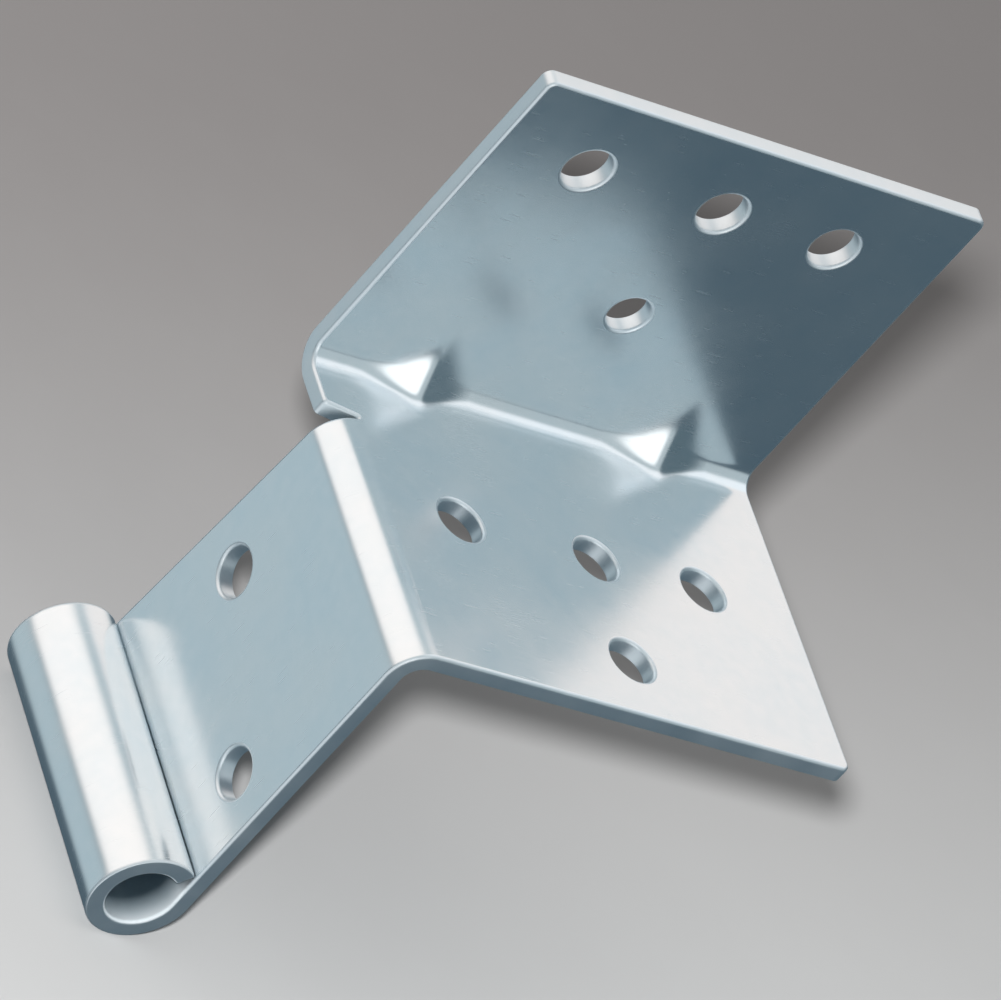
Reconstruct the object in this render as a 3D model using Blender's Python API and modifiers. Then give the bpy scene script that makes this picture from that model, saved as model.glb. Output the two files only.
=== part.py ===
"""Three-way folded roof bracket, pressed from one blank of zinc-plated sheet steel.

The script follows the way the part is made: a flat blank is folded, rolled, given its thickness,
punched and pressed.  X runs along the long fold, +Y points out of the upright's back, +Z up.
The origin is where the three seating planes meet: the base's underside is Z = 0, the upright's
back is Y = 0 and the arm's back is X = 0.  Sizes below are millimetres; the scene is in metres.
"""

import math

import bmesh
import bpy
from mathutils import Vector

MM = 0.001

# Blank
SHEET = 3.0  # thickness
WIDTH = 85.0  # along the long fold
LEFT = -SHEET  # the plates' left edge is flush with the arm's outer face
RIGHT = LEFT + WIDTH
BASE_DEPTH = 61.0  # upright's back to base's front edge
UPRIGHT_HEIGHT = 64.5  # base's underside to upright's top edge
CORNER_RADIUS = 1.5  # corners of the two plates
CORNER_STEPS = 4

# Folds
FOLD_INSIDE = 3.0  # inside radius of both folds
FOLD_OUTSIDE = FOLD_INSIDE + SHEET
FOLD_END_X = LEFT + FOLD_OUTSIDE  # where the base's flat ends and the arm's fold starts
FOLD_STEPS = 10

# Arm and rolled eye
ARM_REAR_TOP = -14.0  # rear edge of the arm at its fold
ARM_REAR_EYE = -10.3  # the arm widens to this at the eye
BORE = 11.0  # takes an 11 mm roller spindle
EYE_CENTRE_Z = -57.8
SEAM_GAP = 0.3  # between the rolled end and the arm
EYE_STEPS = 44
RELIEF_MOUTH = 1.6  # width of the fold relief at the plate's edge
RELIEF_END = 0.4  # and at its inner end

# Screw holes: (x, z) in the upright, (x, y) in the base, (y, z) in the arm
HOLE = 8.0
SMALL_HOLE = 7.0
HOLE_SIDES = 40
UPRIGHT_HOLES = ((14.0, 51.0), (40.0, 51.0), (62.0, 51.0))
UPRIGHT_SMALL_HOLE = (40.0, 27.5)
BASE_HOLES = ((17.0, -30.0), (43.0, -30.0), (64.0, -30.0), (43.0, -50.0))
ARM_HOLES = ((-22.5, -25.0), (-51.5, -37.5))

# Stiffening darts pressed across the long fold
DART_CENTRES = (16.0, 62.5)
DART_UP = 10.0  # the ridge's reach up the upright's front face
DART_OUT = 5.0  # and out along the base's top face
DART_HALF_WIDTH = 9.0  # where those two faces would meet
DART_RIDGE_RADIUS = 1.6
DART_STEPS = 4
HOLLOW_LENGTH = 26.0  # of the tool that dents the outside of the fold
HOLLOW_HEIGHT = 20.0

SMOOTH_BELOW = 30.0  # degrees: flatter joints between faces are shaded as round
PUNCH_DEPTH = 4 * SHEET

ZINC = (0.60, 0.66, 0.70, 1.0)


def clear_scene():
    for obj in list(bpy.data.objects):
        bpy.data.objects.remove(obj, do_unlink=True)


def new_collection(name):
    collection = bpy.data.collections.new(name)
    bpy.context.scene.collection.children.link(collection)
    return collection


def zinc_material():
    material = bpy.data.materials.new("zinc_plated_steel")
    material.use_nodes = True
    shader = material.node_tree.nodes["Principled BSDF"]
    shader.inputs["Base Color"].default_value = ZINC
    shader.inputs["Metallic"].default_value = 1.0
    shader.inputs["Roughness"].default_value = 0.25
    return material


def add_object(name, mesh_builder, collection):
    """An object in `collection` whose mesh is filled in by mesh_builder(bmesh)."""
    bm = bmesh.new()
    mesh_builder(bm)
    bmesh.ops.recalc_face_normals(bm, faces=bm.faces)
    mesh = bpy.data.meshes.new(name)
    bm.to_mesh(mesh)
    bm.free()
    obj = bpy.data.objects.new(name, mesh)
    collection.objects.link(obj)
    return obj


def arc(centre, radius, start, end, steps):
    """Points (a, b) on a circle, both ends included; angles in degrees from the +a axis."""
    points = []
    for step in range(steps + 1):
        angle = math.radians(start + (end - start) * step / steps)
        points.append((centre[0] + radius * math.cos(angle), centre[1] + radius * math.sin(angle)))
    return points


def upright_profile():
    """(y, z) of the visible face from the base's rear line round the long fold to the top edge."""
    centre = (-FOLD_OUTSIDE, FOLD_OUTSIDE)
    return arc(centre, FOLD_INSIDE, -90, 0, FOLD_STEPS) + [(-SHEET, UPRIGHT_HEIGHT)]


def arm_profile():
    """(x, z) of the visible face in two stretches: round the arm's fold, and round the eye.

    The flat of the arm joins the end of the first to the start of the second.  The eye stops at
    the angle where its outer corner comes within SEAM_GAP of the arm.
    """
    bore_radius = BORE / 2
    fold = arc((FOLD_END_X, SHEET - FOLD_OUTSIDE), FOLD_OUTSIDE, 90, 180, FOLD_STEPS)
    seam_angle = math.degrees(math.acos((bore_radius - SEAM_GAP) / (bore_radius + SHEET)))
    eye = arc((LEFT - bore_radius, EYE_CENTRE_Z), bore_radius, 0, seam_angle - 360, EYE_STEPS)
    return fold, eye


def strip(bm, first, second):
    """Quads between two lines of vertices of the same length."""
    for a, b, c, d in zip(first, first[1:], second[1:], second):
        bm.faces.new((a, b, c, d))


def line(bm, points):
    return [bm.verts.new(Vector(point) * MM) for point in points]


def folded_face(bm):
    """The visible face of the folded blank, as one open surface."""
    profile = upright_profile()
    upright = [line(bm, [(x, y, z) for y, z in profile]) for x in (LEFT, FOLD_END_X, RIGHT)]
    strip(bm, upright[0], upright[1])
    strip(bm, upright[1], upright[2])

    fold, eye = arm_profile()
    front = line(bm, [(x, -BASE_DEPTH, z) for x, z in fold + eye])
    rear = line(bm, [(x, ARM_REAR_TOP, z) for x, z in fold] + [(x, ARM_REAR_EYE, z) for x, z in eye])
    strip(bm, front, rear)

    relief = line(
        bm,
        [
            (LEFT, ARM_REAR_TOP + RELIEF_MOUTH, SHEET),
            (FOLD_END_X, ARM_REAR_TOP + RELIEF_END, SHEET),
        ],
    )
    corner = line(bm, [(RIGHT, -BASE_DEPTH, SHEET)])[0]
    bm.faces.new((upright[0][0], relief[0], relief[1], upright[1][0]))
    bm.faces.new((upright[1][0], relief[1], rear[0], front[0], corner, upright[2][0]))
    round_corners(bm, (upright[0][-1], upright[2][-1], corner))


def round_corners(bm, corners):
    bmesh.ops.bevel(
        bm,
        geom=list(corners),
        offset=CORNER_RADIUS * MM,
        segments=CORNER_STEPS,
        profile=0.5,
        affect="VERTICES",
    )


def thicken(obj):
    """Gives the sheet its thickness on the hidden side of the visible face."""
    modifier = obj.modifiers.new("Sheet thickness", "SOLIDIFY")
    modifier.thickness = SHEET * MM
    modifier.offset = -1.0
    modifier.use_even_offset = True


def boolean(obj, operation, other, name):
    modifier = obj.modifiers.new(name, "BOOLEAN")
    modifier.operation = operation
    modifier.solver = "EXACT"
    modifier.object = other


def punch(name, centre, axis, diameter, cutters):
    """A round punch through the sheet at `centre`, along X, Y or Z."""

    def build(bm):
        bmesh.ops.create_cone(
            bm,
            cap_ends=True,
            segments=HOLE_SIDES,
            radius1=diameter / 2 * MM,
            radius2=diameter / 2 * MM,
            depth=PUNCH_DEPTH * MM,
        )

    obj = add_object(name, build, cutters)
    obj.location = Vector(centre) * MM
    turns = {"X": (0, math.pi / 2, 0), "Y": (math.pi / 2, 0, 0), "Z": (0, 0, 0)}
    obj.rotation_euler = turns[axis]
    return obj


def punches(cutters):
    half = SHEET / 2
    found = []
    for number, (x, z) in enumerate(UPRIGHT_HOLES, 1):
        found.append(punch(f"upright_punch_{number}", (x, -half, z), "Y", HOLE, cutters))
    x, z = UPRIGHT_SMALL_HOLE
    found.append(punch("upright_punch_small", (x, -half, z), "Y", SMALL_HOLE, cutters))
    for number, (x, y) in enumerate(BASE_HOLES, 1):
        found.append(punch(f"base_punch_{number}", (x, y, half), "Z", HOLE, cutters))
    for number, (y, z) in enumerate(ARM_HOLES, 1):
        found.append(punch(f"arm_punch_{number}", (-half, y, z), "X", HOLE, cutters))
    return found


def wedge_faces(bm, ridge, left, right):
    """Closes a triangular prism from three lines of two vertices each."""
    bm.faces.new((ridge[0], ridge[1], left[1], left[0]))
    bm.faces.new((ridge[1], ridge[0], right[0], right[1]))
    bm.faces.new((left[0], left[1], right[1], right[0]))
    bm.faces.new((ridge[0], left[0], right[0]))
    bm.faces.new((ridge[1], right[1], left[1]))


def raised_wedge(name, centre_x, cutters):
    """The dart seen from inside: a wedge whose ends and foot are buried in the sheet.

    Its two slopes cross the line where the upright's front and the base's top would meet.
    """
    end_y, end_z = -SHEET / 2, SHEET / 2
    climb = DART_UP / DART_OUT

    def build(bm):
        def ends(x, rise):
            """Both ends of the line at this x that crosses the upright's front `rise` above the base."""
            upper = (centre_x + x, end_y, SHEET + rise + climb * (end_y + SHEET))
            lower = (centre_x + x, -SHEET - (SHEET + rise - end_z) / climb, end_z)
            return line(bm, [upper, lower])

        ridge = ends(0.0, DART_UP)
        wedge_faces(bm, ridge, ends(-DART_HALF_WIDTH, 0.0), ends(DART_HALF_WIDTH, 0.0))
        bmesh.ops.bevel(
            bm,
            geom=[bm.edges.get(ridge)],
            offset=DART_RIDGE_RADIUS * MM,
            segments=DART_STEPS,
            profile=0.5,
            affect="EDGES",
        )

    return add_object(name, build, cutters)


def hollow_wedge(name, centre_x, cutters):
    """The dent behind the dart: the same two slopes, one sheet thickness further back."""
    along = Vector((0.0, DART_OUT, DART_UP)).normalized()
    out = Vector((0.0, -DART_UP, DART_OUT)).normalized()
    crest = DART_OUT * out.y * -1
    slope = math.atan2(crest, DART_HALF_WIDTH)
    top = crest - SHEET / math.cos(slope)
    half_width = HOLLOW_HEIGHT / math.tan(slope)
    corner = Vector((centre_x, -SHEET, SHEET))

    def build(bm):
        def ends(x, rise):
            middle = corner + Vector((x, 0.0, 0.0)) + out * rise
            return line(bm, [middle + along * HOLLOW_LENGTH / 2, middle - along * HOLLOW_LENGTH / 2])

        foot = top - HOLLOW_HEIGHT
        wedge_faces(bm, ends(0.0, top), ends(-half_width, foot), ends(half_width, foot))

    return add_object(name, build, cutters)


def press_darts(plate, cutters):
    for number, x in enumerate(DART_CENTRES, 1):
        raised = raised_wedge(f"dart_{number}", x, cutters)
        hollow = hollow_wedge(f"dart_hollow_{number}", x, cutters)
        boolean(plate, "UNION", raised, raised.name)
        boolean(plate, "DIFFERENCE", hollow, hollow.name)


def shade_round(obj):
    obj.data.shade_smooth()
    obj.data.set_sharp_from_angle(angle=math.radians(SMOOTH_BELOW))


def main():
    clear_scene()
    bracket = new_collection("roof_bracket")
    cutters = new_collection("press_tools")
    plate = add_object("folded_plate", folded_face, bracket)
    plate.data.materials.append(zinc_material())
    thicken(plate)
    press_darts(plate, cutters)
    for tool in punches(cutters):
        boolean(plate, "DIFFERENCE", tool, tool.name)
    shade_round(plate)
    for tool in cutters.objects:
        tool.hide_render = True
        tool.display_type = "WIRE"


main()
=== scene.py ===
"""Looks for the folded, zinc-plated corner bracket.

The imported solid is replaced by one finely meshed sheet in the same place.  The sheet is laid out
flat as a blank, meshed there with its holes, and then folded, dented and rolled.  Sizes are
millimetres until a mesh is written; the scene is in metres.
"""

import math

import bpy
import numpy as np
from mathutils import Matrix, Vector
from mathutils.geometry import delaunay_2d_cdt

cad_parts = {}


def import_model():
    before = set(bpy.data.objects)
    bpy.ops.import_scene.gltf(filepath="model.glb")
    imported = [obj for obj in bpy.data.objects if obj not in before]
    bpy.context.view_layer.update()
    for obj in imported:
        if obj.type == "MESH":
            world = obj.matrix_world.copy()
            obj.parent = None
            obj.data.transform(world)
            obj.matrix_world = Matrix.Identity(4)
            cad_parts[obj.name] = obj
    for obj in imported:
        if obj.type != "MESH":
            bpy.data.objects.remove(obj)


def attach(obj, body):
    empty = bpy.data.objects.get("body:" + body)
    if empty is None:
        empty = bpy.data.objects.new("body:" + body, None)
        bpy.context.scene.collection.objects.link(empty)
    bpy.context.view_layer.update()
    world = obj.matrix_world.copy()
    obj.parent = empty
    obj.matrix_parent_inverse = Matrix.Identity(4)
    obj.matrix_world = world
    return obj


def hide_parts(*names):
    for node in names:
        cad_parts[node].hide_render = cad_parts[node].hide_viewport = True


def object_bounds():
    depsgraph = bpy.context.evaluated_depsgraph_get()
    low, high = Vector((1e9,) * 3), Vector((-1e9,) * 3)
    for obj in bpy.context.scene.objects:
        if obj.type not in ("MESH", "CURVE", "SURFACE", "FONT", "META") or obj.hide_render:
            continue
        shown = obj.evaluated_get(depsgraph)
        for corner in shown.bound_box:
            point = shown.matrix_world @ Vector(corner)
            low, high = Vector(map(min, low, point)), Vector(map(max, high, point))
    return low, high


MM = 0.001

# The blank and its folds, as in the CAD
SHEET = 3.0
LEFT, RIGHT = -3.0, 82.0
FRONT = -61.0
TOP_Z = 64.5
INSIDE, OUTSIDE = 3.0, 6.0
BORE_RADIUS = 5.5
EYE_X, EYE_Z = LEFT - BORE_RADIUS, -57.8
SEAM_GAP = 0.05
ARM_REAR_TOP, ARM_REAR_EYE = -14.0, -10.3
RELIEF_MOUTH_Y, RELIEF_END_Y = -12.4, -13.6

# The same folds as lengths along the visible face.  In the blank, U runs with X and V with Y.
LONG_FOLD_V = -OUTSIDE
LONG_FOLD_LENGTH = INSIDE * math.pi / 2
UPRIGHT_V = LONG_FOLD_V + LONG_FOLD_LENGTH
TOP_V = UPRIGHT_V + TOP_Z - OUTSIDE
ARM_FOLD_U = LEFT + OUTSIDE
ARM_FOLD_LENGTH = OUTSIDE * math.pi / 2
ARM_U = ARM_FOLD_U - ARM_FOLD_LENGTH
EYE_U = ARM_U - (-INSIDE - EYE_Z)
EYE_SWEEP = 2 * math.pi - math.acos((BORE_RADIUS - SEAM_GAP) / (BORE_RADIUS + SHEET))
END_U = EYE_U - BORE_RADIUS * EYE_SWEEP

# Hole radii, then the holes: (x, z, radius) in the upright, (x, y) in the base, (y, z) in the arm
HOLE, SMALL_HOLE = 4.0, 3.5
UPRIGHT_HOLES = (
    (14.0, 51.0, HOLE),
    (40.0, 51.0, HOLE),
    (62.0, 51.0, HOLE),
    (40.0, 27.5, SMALL_HOLE),
)
BASE_HOLES = ((17.0, -30.0), (43.0, -30.0), (64.0, -30.0), (43.0, -50.0))
ARM_HOLES = ((-22.5, -25.0), (-51.5, -37.5))

# Darts pressed across the long fold; the last three round their crests, feet and surroundings
DART_CENTRES = (16.0, 62.5)
DART_UP, DART_OUT = 10.0, 5.0
DART_HALF_WIDTH = 9.0
DART_RIDGE = 1.1
DART_BLEND = 2.2
DART_MARGIN = 1.5

# Sheared edges: rolled over on the visible face, nearly square behind
EDGE_WIDTH = 0.6
EDGE_DROP = 0.6
BACK_DROP = 0.25
EDGE_STEPS = 4
EDGE_MIDDLE = 0.55
MOUTH_WEAR = 4.5

# Mesh spacing, and how near the outline a grid point may come
COARSE, CURVED, DART_STEP, HOLE_SIDES = 2.5, 0.36, 0.4, 64
CLOSEST = 0.16
CLOSEST_ALONG = 0.2

# Tints of the plating
ZINC_COOL = (0.74, 0.82, 0.86, 1.0)
ZINC_WARM = (0.80, 0.85, 0.87, 1.0)
ZINC_PALE = (0.88, 0.90, 0.92, 1.0)
ZINC_EDGE = (0.62, 0.68, 0.72, 1.0)
# The last tint is painted shade: it darkens the wall inside the rolled eye
ZINC_BORE_SHADE = (0.36, 0.48, 0.55, 1.0)

# The studio that the metal reflects: dark below, paler above, and cards laid over that in turn, as
# (direction, cosine where the card ends, cosine where it is full, colour)
LOWER = (0.085, 0.125, 0.155)
UPPER = (0.52, 0.59, 0.62)
CARDS = (
    ((0.98, -0.15, 0.05), 0.75, 0.95, (0.10, 0.15, 0.18)),
    ((0.45, 0.05, 0.90), 0.80, 0.93, (1.05, 1.07, 1.10)),
    ((0.60, 0.62, 0.52), 0.87, 0.965, (1.02, 0.95, 0.92)),
    ((-0.60, 0.62, 0.51), 0.72, 0.88, (1.20, 1.12, 1.08)),
    ((-0.60, 0.62, -0.52), 0.86, 0.96, (0.49, 0.58, 0.62)),
    ((-0.62, -0.60, -0.50), 0.70, 0.92, (0.80, 0.85, 0.88)),
    ((-0.25, -0.94, 0.24), 0.86, 0.97, (1.5, 1.5, 1.5)),
)
BACKGROUND = (0.24, 0.235, 0.23, 1.0)

# The floor is one plain sheet that pales along FLOOR_WAY: its colour is painted darker at the back
# and paler at the front, painted shade and light for the fall of light across it
FLOOR_HALF = 4.0
FLOOR_GAP = 0.0003
FLOOR_WAY = (0.2232, -0.7442, 0.0)
FLOOR_SPAN = (-0.098, 0.103)
FLOOR_PAINTED_SHADE_BACK = (0.325, 0.308, 0.304, 1.0)
FLOOR_PAINTED_LIGHT_FRONT = (0.637, 0.645, 0.645, 1.0)

# Lamps
KEY_AIM = (0.03, -0.03, 0.0)
KEY_ABOVE, KEY_LEFT = 0.048, 0.006
KEY_DISTANCE, KEY_SIZE, KEY_WATTS = 1.4, 0.07, 25.2
FILL_HEIGHT, FILL_SIZE, FILL_WATTS = 1.53, 2.5, 12.4

# Camera: azimuth from -Y, elevation and roll in degrees; target and distance in metres; lens in mm
CAMERA_AZIMUTH, CAMERA_ELEVATION, CAMERA_ROLL = -44.124, 31.038, 42.716
CAMERA_TARGET = (0.02709, -0.02282, 0.00275)
CAMERA_DISTANCE = 1.4
CAMERA_LENS = 339.5
CAMERA_SENSOR = 36.0


def hole_circles():
    """(u, v, radius) of every hole in the blank."""
    circles = [(x, UPRIGHT_V + z - OUTSIDE, r) for x, z, r in UPRIGHT_HOLES]
    circles += [(x, y, HOLE) for x, y in BASE_HOLES]
    circles += [(ARM_U + INSIDE + z, y, HOLE) for y, z in ARM_HOLES]
    return circles


def spaced(stops):
    """Sorted positions through [(start, step), ..., (end, None)], each stretch evenly divided."""
    found = []
    for (start, step), (end, _) in zip(stops, stops[1:]):
        count = max(1, math.ceil((end - start) / step - 1e-6))
        found += [start + (end - start) * i / count for i in range(count)]
    return np.array(found + [stops[-1][0]])


def grid_lines():
    """The blank's columns (u) and rows (v): close together where the sheet is curved."""
    reach = DART_HALF_WIDTH + DART_MARGIN
    a, b = DART_CENTRES
    columns = spaced(
        [
            (END_U, CURVED),
            (EYE_U, COARSE),
            (ARM_U, CURVED),
            (ARM_FOLD_U, COARSE),
            (a - reach, DART_STEP),
            (a + reach, COARSE),
            (b - reach, DART_STEP),
            (b + reach, COARSE),
            (RIGHT, None),
        ]
    )
    rows = spaced(
        [
            (FRONT, COARSE),
            (-OUTSIDE - DART_OUT, DART_STEP),
            (LONG_FOLD_V, CURVED),
            (UPRIGHT_V, DART_STEP),
            (UPRIGHT_V + DART_UP, COARSE),
            (TOP_V, None),
        ]
    )
    return columns, rows


def outline_corners():
    """(u, v, radius) of the blank's corners, anticlockwise, the material on the left."""
    return [
        (RIGHT, FRONT, 1.5),
        (RIGHT, TOP_V, 1.5),
        (LEFT, TOP_V, 1.5),
        (LEFT, RELIEF_MOUTH_Y, 0.8),
        (ARM_FOLD_U, RELIEF_END_Y, 0.18),
        (ARM_FOLD_U, ARM_REAR_TOP, 0.18),
        (ARM_U, ARM_REAR_TOP, 6.0),
        (EYE_U, ARM_REAR_EYE, 6.0),
        (END_U, ARM_REAR_EYE, 0.8),
        (END_U, FRONT, 0.8),
    ]


def rounded(corner, before, after, steps=6):
    """Points and outward normals of the fillet at `corner`; 'outward' is right of the way round."""
    c = np.array(corner[:2])
    way_in = c - np.array(before[:2])
    way_out = np.array(after[:2]) - c
    way_in /= np.linalg.norm(way_in)
    way_out /= np.linalg.norm(way_out)
    turn = math.atan2(way_in[0] * way_out[1] - way_in[1] * way_out[0], way_in @ way_out)
    radius = corner[2]
    side = math.copysign(1.0, turn)
    start = c - way_in * radius * abs(math.tan(turn / 2))
    left = np.array((-way_in[1], way_in[0]))
    centre = start + left * radius * side
    points, normals = [], []
    for step in range(steps + 1):
        angle = turn * step / steps
        spun = np.array(
            (
                -left[0] * math.cos(angle) + left[1] * math.sin(angle),
                -left[0] * math.sin(angle) - left[1] * math.cos(angle),
            )
        )
        points.append(centre + spun * radius * side)
        normals.append(spun)
    return points, normals


def between(start, end, columns, rows):
    """Grid crossings strictly between two points of the outline."""
    du, dv = end - start
    lines, along = (columns, 0) if abs(du) > abs(dv) else (rows, 1)
    low, high = sorted((start[along], end[along]))
    inside = lines[(lines > low + CLOSEST_ALONG) & (lines < high - CLOSEST_ALONG)]
    shares = np.sort((inside - start[along]) / (end[along] - start[along]))
    return [start + (end - start) * share for share in shares]


def outline(columns, rows):
    """(points, outward normals) round the blank."""
    corners = outline_corners()
    arcs = [
        rounded(corners[i], corners[i - 1], corners[(i + 1) % len(corners)])
        for i in range(len(corners))
    ]
    points, normals = [], []
    for (here, facing), (following, _) in zip(arcs, arcs[1:] + arcs[:1]):
        points += here
        normals += facing
        straight = between(here[-1], following[0], columns, rows)
        points += straight
        normals += [facing[-1]] * len(straight)
    return np.array(points), np.array(normals)


def hole_loop(u, v, radius):
    """(points, normals into the hole) round a hole, clockwise."""
    angle = -np.arange(HOLE_SIDES) * 2 * math.pi / HOLE_SIDES
    ray = np.stack((np.cos(angle), np.sin(angle)), axis=1)
    return np.array((u, v)) + ray * radius, -ray


def inside_loop(points, loop):
    """Whether each point is inside a closed loop."""
    u, v = points[:, 0], points[:, 1]
    found = np.zeros(len(points), bool)
    for (u0, v0), (u1, v1) in zip(loop, np.roll(loop, -1, axis=0)):
        if v0 != v1:
            crosses = (v0 > v) != (v1 > v)
            found ^= crosses & (u < (u1 - u0) * (v - v0) / (v1 - v0) + u0)
    return found


def distance_to(points, loop, reach):
    """Distance from each point to the nearest side of the loop, no more than `reach`."""
    best = np.full(len(points), reach)
    for start, end in zip(loop, np.roll(loop, -1, axis=0)):
        way = end - start
        share = np.clip(((points - start) @ way) / (way @ way), 0, 1)
        gap = np.linalg.norm(points - start - share[:, None] * way, axis=1)
        best = np.minimum(best, gap)
    return best


def flat_mesh(loops, columns, rows):
    """(points, triangles, loops as index lists) of the blank inside its rounded edges."""
    u, v = np.meshgrid(columns, rows, indexing="ij")
    grid = np.stack((u.ravel(), v.ravel()), axis=1)
    keep = inside_loop(grid, loops[0])
    for loop in loops[1:]:
        keep &= ~inside_loop(grid, loop)
    grid = grid[keep]
    for loop in loops:
        grid = grid[distance_to(grid, loop, 2 * CLOSEST) > CLOSEST]

    points, edges, indices = [], [], []
    for loop in loops:
        first = len(points)
        points += [tuple(p) for p in loop]
        indices.append(np.arange(first, len(points)))
        edges += [(i, i + 1) for i in range(first, len(points) - 1)] + [(len(points) - 1, first)]
    points += [tuple(p) for p in grid]
    made = delaunay_2d_cdt([Vector(p) for p in points], edges, [], 0, 1e-6, False)
    flat = np.array([tuple(p) for p in made[0]])
    if len(flat) != len(points):
        raise RuntimeError("the blank's outline crosses itself")
    triangles = np.array(made[2])
    middles = flat[triangles].mean(axis=1)
    keep = inside_loop(middles, loops[0])
    for loop in loops[1:]:
        keep &= ~inside_loop(middles, loop)
    return flat, triangles[keep], indices


def fold(flat, depth):
    """Where the blank's points go once it is folded; depth is below the visible face."""
    u, v = flat[:, 0], flat[:, 1]
    place = np.stack((u, v, SHEET - depth), axis=1)

    # The upright and the long fold
    angle = np.clip((v - LONG_FOLD_V) / INSIDE, 0, math.pi / 2)
    radius = INSIDE + depth
    rise = np.maximum(v - UPRIGHT_V, 0)
    up = v > LONG_FOLD_V
    place[up, 1] = (-OUTSIDE + radius * np.sin(angle))[up]
    place[up, 2] = (OUTSIDE - radius * np.cos(angle) + rise)[up]

    # The arm, its fold and the rolled eye.  The relief parts it from the upright's corner.
    arm = (u < ARM_FOLD_U) & (v < (ARM_REAR_TOP + RELIEF_END_Y) / 2) | (u < LEFT - 1)
    angle = np.clip((ARM_FOLD_U - u) / OUTSIDE, 0, math.pi / 2)
    radius = OUTSIDE - depth
    drop = np.clip(ARM_U - u, 0, ARM_U - EYE_U)
    x = ARM_FOLD_U - radius * np.sin(angle)
    z = SHEET - OUTSIDE + radius * np.cos(angle) - drop
    roll = (EYE_U - u) / BORE_RADIUS
    eye = u < EYE_U
    x[eye] = (EYE_X + (BORE_RADIUS + depth) * np.cos(roll))[eye]
    z[eye] = (EYE_Z - (BORE_RADIUS + depth) * np.sin(roll))[eye]
    place[arm, 0] = x[arm]
    place[arm, 2] = z[arm]
    return place


def smooth_max(a, b, blend):
    near = np.maximum(blend - np.abs(a - b), 0) / blend
    return np.maximum(a, b) + near * near * blend / 4


def press_darts(place, behind):
    """Pushes the sheet out across the long fold, along the line that halves its corner."""
    x = place[:, 0]
    height = (place[:, 2] - place[:, 1] - 2 * SHEET) / math.sqrt(2)
    along = (place[:, 2] + place[:, 1]) / math.sqrt(2)
    crest = DART_UP * DART_OUT * math.sqrt(2) / (DART_UP + DART_OUT)
    tilt = (DART_UP - DART_OUT) / (DART_UP + DART_OUT)
    slope = crest / DART_HALF_WIDTH
    if behind:
        crest -= SHEET * math.sqrt(1 + slope**2 + tilt**2)
    raised = height.copy()
    for centre in DART_CENTRES:
        across = np.sqrt((x - centre) ** 2 + DART_RIDGE**2)
        wedge = crest + tilt * along - slope * across
        near = (np.abs(x - centre) < DART_HALF_WIDTH + DART_MARGIN) & (along < DART_UP)
        near &= (place[:, 1] > -OUTSIDE - DART_UP) & (place[:, 2] > -1)
        raised[near] = smooth_max(raised, wedge, DART_BLEND)[near]
    push = (raised - height) / math.sqrt(2)
    place[:, 1] -= push
    place[:, 2] += push
    return place


def edge_profile():
    """[(outward, depth)] round a sheared edge, from the visible face to the back."""
    steps = []
    for step in range(1, EDGE_STEPS + 1):
        angle = math.pi / 2 * step / EDGE_STEPS
        steps.append((EDGE_WIDTH * math.sin(angle), EDGE_DROP * (1 - math.cos(angle))))
    steps.append((EDGE_WIDTH, SHEET * EDGE_MIDDLE))
    for step in range(EDGE_STEPS):
        angle = math.pi / 2 * step / EDGE_STEPS
        steps.append(
            (EDGE_WIDTH * math.cos(angle), SHEET - BACK_DROP * (1 - math.sin(angle)))
        )
    return steps


def vertex_normals(points, triangles):
    corners = points[triangles]
    face = np.cross(corners[:, 1] - corners[:, 0], corners[:, 2] - corners[:, 0])
    total = np.zeros_like(points)
    for corner in range(3):
        np.add.at(total, triangles[:, corner], face)
    return total / np.linalg.norm(total, axis=1)[:, None]


def sheet_piece():
    columns, rows = grid_lines()
    edge_loops = [outline(columns, rows)] + [hole_loop(*circle) for circle in hole_circles()]
    inner = [points - normals * EDGE_WIDTH for points, normals in edge_loops]
    flat, triangles, indices = flat_mesh(inner, columns, rows)
    count = len(flat)

    blank = [flat, flat]
    depths = [np.zeros(count), np.full(count, SHEET)]
    faces = [triangles, triangles[:, ::-1] + count]
    edge = [np.zeros(count), np.zeros(count)]
    used = 2 * count
    profile = edge_profile()
    for index, points, (_, normals) in zip(indices, inner, edge_loops):
        previous = index
        size = len(index)
        for outward, depth in profile:
            ring = np.arange(used, used + size)
            used += size
            blank.append(points + normals * outward)
            depths.append(np.full(size, depth))
            edge.append(np.ones(size))
            faces += quads(previous, ring)
            previous = ring
        faces += quads(previous, index + count)
    blank, depths = np.concatenate(blank), np.concatenate(depths)
    edge, faces = np.concatenate(edge), np.concatenate(faces)

    place = fold(blank, depths)
    place[:count] = press_darts(place[:count], False)
    place[count : 2 * count] = press_darts(place[count : 2 * count], True)
    # bore marks the wall inside the rolled eye, which the material darkens as painted shade and
    # also roughens; worn marks its mouth, left undarkened and partly non-metallic
    bore_shade_and_roughness = np.clip((EYE_U + BORE_RADIUS - blank[:, 0]) / 2, 0, 1) * (depths < 0.2)
    worn = bore_shade_and_roughness * np.clip((FRONT + MOUTH_WEAR - blank[:, 1]) / MOUTH_WEAR, 0, 1)
    layers = {"sheared": edge, "bore_shade_and_roughness": bore_shade_and_roughness - worn, "worn": worn}
    normals = vertex_normals(place, faces)
    normals[: 2 * count] = vertex_normals(place[: 2 * count], faces[: 2 * len(triangles)])
    return write_mesh("folded_sheet", place, faces, normals, blank, layers)


def quads(first, second):
    """Two triangles for each step along two rings of the same length."""
    a, b = first, np.roll(first, -1)
    c, d = np.roll(second, -1), second
    return [np.stack((b, a, d), axis=1), np.stack((b, d, c), axis=1)]


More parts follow.
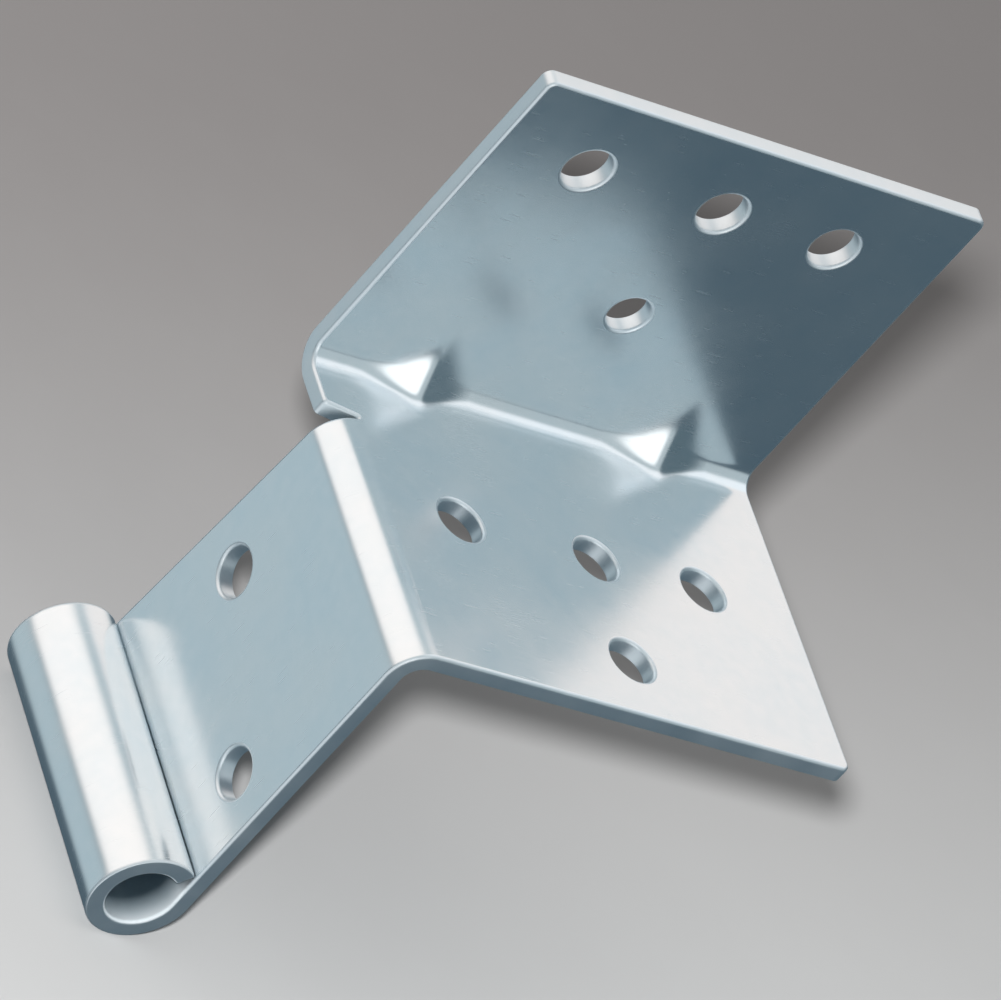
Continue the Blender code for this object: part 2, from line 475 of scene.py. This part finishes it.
def write_mesh(name, place, faces, normals, blank, layers):
    mesh = bpy.data.meshes.new(name)
    mesh.from_pydata((place * MM).tolist(), [], faces.tolist())
    mesh.shade_smooth()
    uv = mesh.uv_layers.new(name="blank")
    corner = np.empty(len(mesh.loops), np.int32)
    mesh.loops.foreach_get("vertex_index", corner)
    uv.data.foreach_set("uv", (blank[corner] / 100.0).astype(np.float32).ravel())
    for layer, values in layers.items():
        attribute = mesh.attributes.new(layer, "FLOAT", "POINT")
        attribute.data.foreach_set("value", values.astype(np.float32))
    mesh.normals_split_custom_set_from_vertices(normals.tolist())
    obj = bpy.data.objects.new(name, mesh)
    bpy.context.scene.collection.objects.link(obj)
    return obj


class Nodes:
    """Short calls for adding and linking nodes in one tree."""

    def __init__(self, tree):
        self.tree = tree

    def add(self, kind, settings=(), **inputs):
        node = self.tree.nodes.new(kind)
        for name, value in dict(settings).items():
            setattr(node, name, value)
        for name, value in inputs.items():
            self.set(node, name.replace("_", " "), value)
        return node

    def set(self, node, name, value):
        socket = node.inputs[int(name)] if name.isdigit() else node.inputs[name]
        if isinstance(value, bpy.types.NodeSocket):
            self.tree.links.new(value, socket)
        else:
            socket.default_value = value

    def math(self, operation, a, b=0.0, c=0.0):
        node = self.tree.nodes.new("ShaderNodeMath")
        node.operation = operation
        for index, value in enumerate((a, b, c)):
            self.set(node, str(index), value)
        return node.outputs[0]

    def noise(self, vector, scale, detail=2.0, roughness=0.5):
        node = self.add(
            "ShaderNodeTexNoise", Vector=vector, Scale=scale, Detail=detail, Roughness=roughness
        )
        return node.outputs["Fac"]

    def span(self, value, from_low, from_high, to_low, to_high, smooth=False):
        node = self.tree.nodes.new("ShaderNodeMapRange")
        node.interpolation_type = "SMOOTHSTEP" if smooth else "LINEAR"
        limits = (value, from_low, from_high, to_low, to_high)
        for name, item in zip(("Value", "From Min", "From Max", "To Min", "To Max"), limits):
            self.set(node, name, item)
        return node.outputs["Result"]

    def mix(self, factor, a, b, blend="MIX"):
        node = self.tree.nodes.new("ShaderNodeMix")
        node.data_type = "RGBA"
        node.blend_type = blend
        self.set(node, "0", factor)
        self.set(node, "6", a)
        self.set(node, "7", b)
        return node.outputs[2]

    def stretched(self, vector, scale):
        return self.add("ShaderNodeMapping", Vector=vector, Scale=scale).outputs[0]


def zinc_material():
    """Bright zinc plating on rolled sheet: grain along the sheet, clouding, fine scratches, and
    painted shade darkening the bore.
    """
    material = bpy.data.materials.new("zinc_plated_steel")
    material.use_nodes = True
    n = Nodes(material.node_tree)
    shader = material.node_tree.nodes["Principled BSDF"]

    place = n.add("ShaderNodeTexCoord").outputs["Object"]
    blank = n.add("ShaderNodeUVMap", {"uv_map": "blank"}).outputs["UV"]
    sheared = n.add("ShaderNodeAttribute", {"attribute_name": "sheared"}).outputs["Fac"]
    bore_shade_and_roughness = n.add("ShaderNodeAttribute", {"attribute_name": "bore_shade_and_roughness"}).outputs["Fac"]
    worn = n.add("ShaderNodeAttribute", {"attribute_name": "worn"}).outputs["Fac"]

    clouds = n.noise(place, 55.0, 3.0, 0.55)
    mottle = n.noise(place, 420.0, 3.0, 0.6)
    grain = n.noise(n.stretched(blank, (6.0, 420.0, 1.0)), 3.0, 3.0, 0.6)
    scratch = n.noise(n.stretched(blank, (9.0, 150.0, 1.0)), 2.0, 1.0, 0.5)
    scratches = n.span(scratch, 0.70, 0.76, 0.0, 1.0, True)

    tint = n.mix(n.span(clouds, 0.35, 0.65, 0.0, 1.0), ZINC_COOL, ZINC_WARM)
    tint = n.mix(n.span(mottle, 0.35, 0.7, 0.0, 0.25), tint, ZINC_PALE)
    tint = n.mix(n.math("MULTIPLY", sheared, 0.15), tint, ZINC_EDGE)
    # Painted shade: the wall inside the rolled eye is darkened, less so at its mouth; the extra
    # roughness added below is real
    tint = n.mix(n.math("MULTIPLY", bore_shade_and_roughness, 0.85), tint, ZINC_BORE_SHADE)
    n.set(shader, "Base Color", tint)
    n.set(shader, "Metallic", n.span(worn, 0.0, 1.0, 1.0, 0.35))

    rough = n.span(clouds, 0.3, 0.7, 0.18, 0.26)
    rough = n.math("ADD", rough, n.span(grain, 0.3, 0.7, -0.03, 0.03))
    rough = n.math("ADD", rough, n.math("MULTIPLY", scratches, 0.10))
    rough = n.math("ADD", rough, n.math("MULTIPLY", sheared, 0.22))
    rough = n.math("ADD", rough, n.math("MULTIPLY", n.math("ADD", bore_shade_and_roughness, worn), 0.30))
    n.set(shader, "Roughness", rough)

    height = n.math("MULTIPLY", grain, 0.0012)
    height = n.math("ADD", height, n.math("MULTIPLY", mottle, 0.004))
    height = n.math("ADD", height, n.math("MULTIPLY", clouds, 0.03))
    height = n.math("SUBTRACT", height, n.math("MULTIPLY", scratches, 0.0015))
    bump = n.add("ShaderNodeBump", Height=height, Distance=MM)
    n.set(shader, "Normal", bump.outputs[0])
    return material


def studio():
    """What the metal reflects, by direction.  Only reflections see it; lamps light the floor."""
    world = bpy.data.worlds.new("studio")
    bpy.context.scene.world = world
    world.use_nodes = True
    n = Nodes(world.node_tree)
    world.node_tree.nodes.clear()
    direction = n.add("ShaderNodeTexCoord").outputs["Generated"]
    height = n.add("ShaderNodeSeparateXYZ", Vector=direction).outputs["Z"]
    colour = n.mix(n.span(height, -0.08, 0.12, 0.0, 1.0, True), (*LOWER, 1), (*UPPER, 1))
    for towards, ends, full, tint in CARDS:
        aim = Vector(towards).normalized()
        dot = n.add("ShaderNodeVectorMath", {"operation": "DOT_PRODUCT"})
        n.set(dot, "0", direction)
        n.set(dot, "1", aim)
        share = n.span(dot.outputs["Value"], ends, full, 0.0, 1.0, True)
        colour = n.mix(share, colour, (*tint, 1))
    seen = n.add("ShaderNodeLightPath").outputs["Is Camera Ray"]
    colour = n.mix(seen, colour, BACKGROUND)
    background = n.add("ShaderNodeBackground", Color=colour)
    output = n.add("ShaderNodeOutputWorld")
    n.tree.links.new(background.outputs[0], output.inputs["Surface"])
    world.cycles_visibility.diffuse = False


def floor(height):
    mesh = bpy.data.meshes.new("floor")
    half = FLOOR_HALF
    corners = [(-half, -half), (half, -half), (half, half), (-half, half)]
    mesh.from_pydata([(x, y, height) for x, y in corners], [], [(0, 1, 2, 3)])
    obj = bpy.data.objects.new("floor", mesh)
    bpy.context.scene.collection.objects.link(obj)
    material = bpy.data.materials.new("floor_painted_falloff")
    material.use_nodes = True
    n = Nodes(material.node_tree)
    shader = material.node_tree.nodes["Principled BSDF"]
    place = n.add("ShaderNodeTexCoord").outputs["Object"]
    # Painted shade and light: the floor's colour goes from darker at the back to paler at the front
    # along FLOOR_WAY
    along = n.add("ShaderNodeVectorMath", {"operation": "DOT_PRODUCT"})
    n.set(along, "0", place)
    n.set(along, "1", FLOOR_WAY)
    share = n.span(along.outputs["Value"], *FLOOR_SPAN, 0.0, 1.0, True)
    share = n.math("ADD", share, n.span(n.noise(place, 60.0, 4.0), 0.3, 0.7, -0.01, 0.01))
    n.set(shader, "Base Color", n.mix(share, FLOOR_PAINTED_SHADE_BACK, FLOOR_PAINTED_LIGHT_FRONT))
    shader.inputs["Roughness"].default_value = 0.8
    shader.inputs["Specular IOR Level"].default_value = 0.0
    mesh.materials.append(material)
    obj.visible_glossy = False


def camera_axes():
    """The camera's right, up and backward directions."""
    azimuth, elevation = math.radians(CAMERA_AZIMUTH), math.radians(CAMERA_ELEVATION)
    level = Vector((math.cos(azimuth), math.sin(azimuth), 0.0))
    away = Vector((math.sin(azimuth), -math.cos(azimuth), 0.0))
    back = away * math.cos(elevation) + Vector((0.0, 0.0, math.sin(elevation)))
    roll = Matrix.Rotation(math.radians(CAMERA_ROLL), 3, back)
    return roll @ level, roll @ back.cross(level), back


def camera():
    data = bpy.data.cameras.new("camera")
    data.lens = CAMERA_LENS
    data.sensor_width = CAMERA_SENSOR
    data.clip_start, data.clip_end = 0.05, 50.0
    obj = bpy.data.objects.new("camera", data)
    axes = camera_axes()
    place = Vector(CAMERA_TARGET) + axes[2] * CAMERA_DISTANCE
    obj.matrix_world = Matrix.Translation(place) @ Matrix(axes).transposed().to_4x4()
    bpy.context.scene.collection.objects.link(obj)
    bpy.context.scene.camera = obj


def lamp(name, place, aim, size, watts):
    data = bpy.data.lights.new(name, "AREA")
    data.shape = "DISK"
    data.size = size
    data.energy = watts
    obj = bpy.data.objects.new(name, data)
    obj.location = place
    obj.rotation_mode = "QUATERNION"
    obj.rotation_quaternion = (place - aim).to_track_quat("Z", "Y")
    obj.visible_glossy = False
    obj.visible_camera = False
    bpy.context.scene.collection.objects.link(obj)


def lamps():
    """A small key just above the camera, so the shadows hug the object, and a wide soft fill."""
    aim = Vector(KEY_AIM)
    right, up, back = camera_axes()
    towards = back + up * KEY_ABOVE - right * KEY_LEFT
    lamp("key", aim + towards.normalized() * KEY_DISTANCE, aim, KEY_SIZE, KEY_WATTS)
    lamp("fill", Vector((0.0, 0.0, FILL_HEIGHT)), Vector((0.0, 0.0, 0.0)), FILL_SIZE, FILL_WATTS)


def main():
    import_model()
    cad_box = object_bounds()
    camera()
    piece = sheet_piece()
    piece.data.materials.append(zinc_material())
    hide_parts("folded_plate")
    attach(piece, "root")
    studio()
    floor(cad_box[0][2] - FLOOR_GAP)
    lamps()
    bpy.context.scene.view_settings.view_transform = "Standard"


main()
